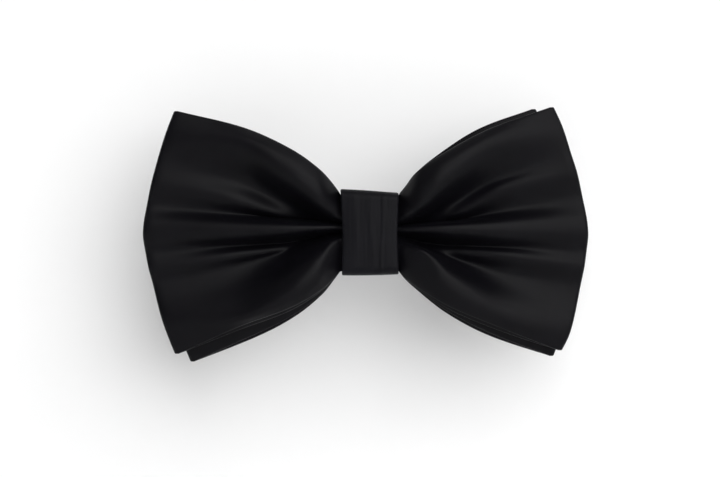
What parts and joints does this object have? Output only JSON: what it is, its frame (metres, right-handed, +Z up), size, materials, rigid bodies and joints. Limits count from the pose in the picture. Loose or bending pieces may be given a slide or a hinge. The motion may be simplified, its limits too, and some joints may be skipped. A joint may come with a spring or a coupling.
{
  "type": "clip-on bow tie",
  "caption": "Pre-tied double-layer satin bow tie with a wrapped knot and a sprung two-jaw collar clip behind it.",
  "frame": {"origin": "centre of the knot's flat back, which rests against the collar", "axes": "+Z up as worn, -Y out of the front of the bow, +X to the right as seen from the front"},
  "size_m": [0.1244, 0.0221, 0.0715],
  "materials": {
    "satin": "black satin weave, soft sheen",
    "knot_satin": "black satin stretched round the knot, a little duller",
    "interlining": "charcoal brushed interlining",
    "thread": "twisted black polyester thread",
    "plated_steel": "nickel-plated pressed steel",
    "spring_steel": "bright drawn spring wire",
    "grip_plastic": "soft black ribbed plastic"
  },
  "bodies": {
    "bow": {"front_bow_satin": "satin", "front_bow_interlining": "interlining", "front_bow_end_stitch": "thread", "rear_bow_satin": "satin", "rear_bow_interlining": "interlining", "rear_bow_end_stitch": "thread", "gather_thread": "thread", "knot_satin": "knot_satin", "knot_interlining": "interlining", "knot_closing_stitch": "thread", "clip_base_plate": "plated_steel", "left_clip_pin": "plated_steel", "left_clip_spring": "spring_steel", "left_plate_grip": "grip_plastic", "left_plate_tack": "thread", "right_clip_pin": "plated_steel", "right_clip_spring": "spring_steel", "right_plate_grip": "grip_plastic", "right_plate_tack": "thread"},
    "left_jaw_lever": {"left_jaw": "plated_steel", "left_jaw_grip": "grip_plastic"},
    "right_jaw_lever": {"right_jaw": "plated_steel", "right_jaw_grip": "grip_plastic"}
  },
  "joints": [
    {"name": "left_jaw_hinge", "type": "hinge", "parent": "bow", "child": "left_jaw_lever", "pos_m": [-0.0165, 0.0004, 0], "axis": [0, 0, -1], "range_deg": [0, 24], "stiffness_Nm_per_rad": 0.06, "springref_deg": -28.65, "deforming": ["left_clip_spring"]},
    {"name": "right_jaw_hinge", "type": "hinge", "parent": "bow", "child": "right_jaw_lever", "pos_m": [0.0165, 0.0004, 0], "axis": [0, 0, 1], "range_deg": [0, 24], "stiffness_Nm_per_rad": 0.06, "springref_deg": -28.65, "deforming": ["right_clip_spring"]}
  ]
}
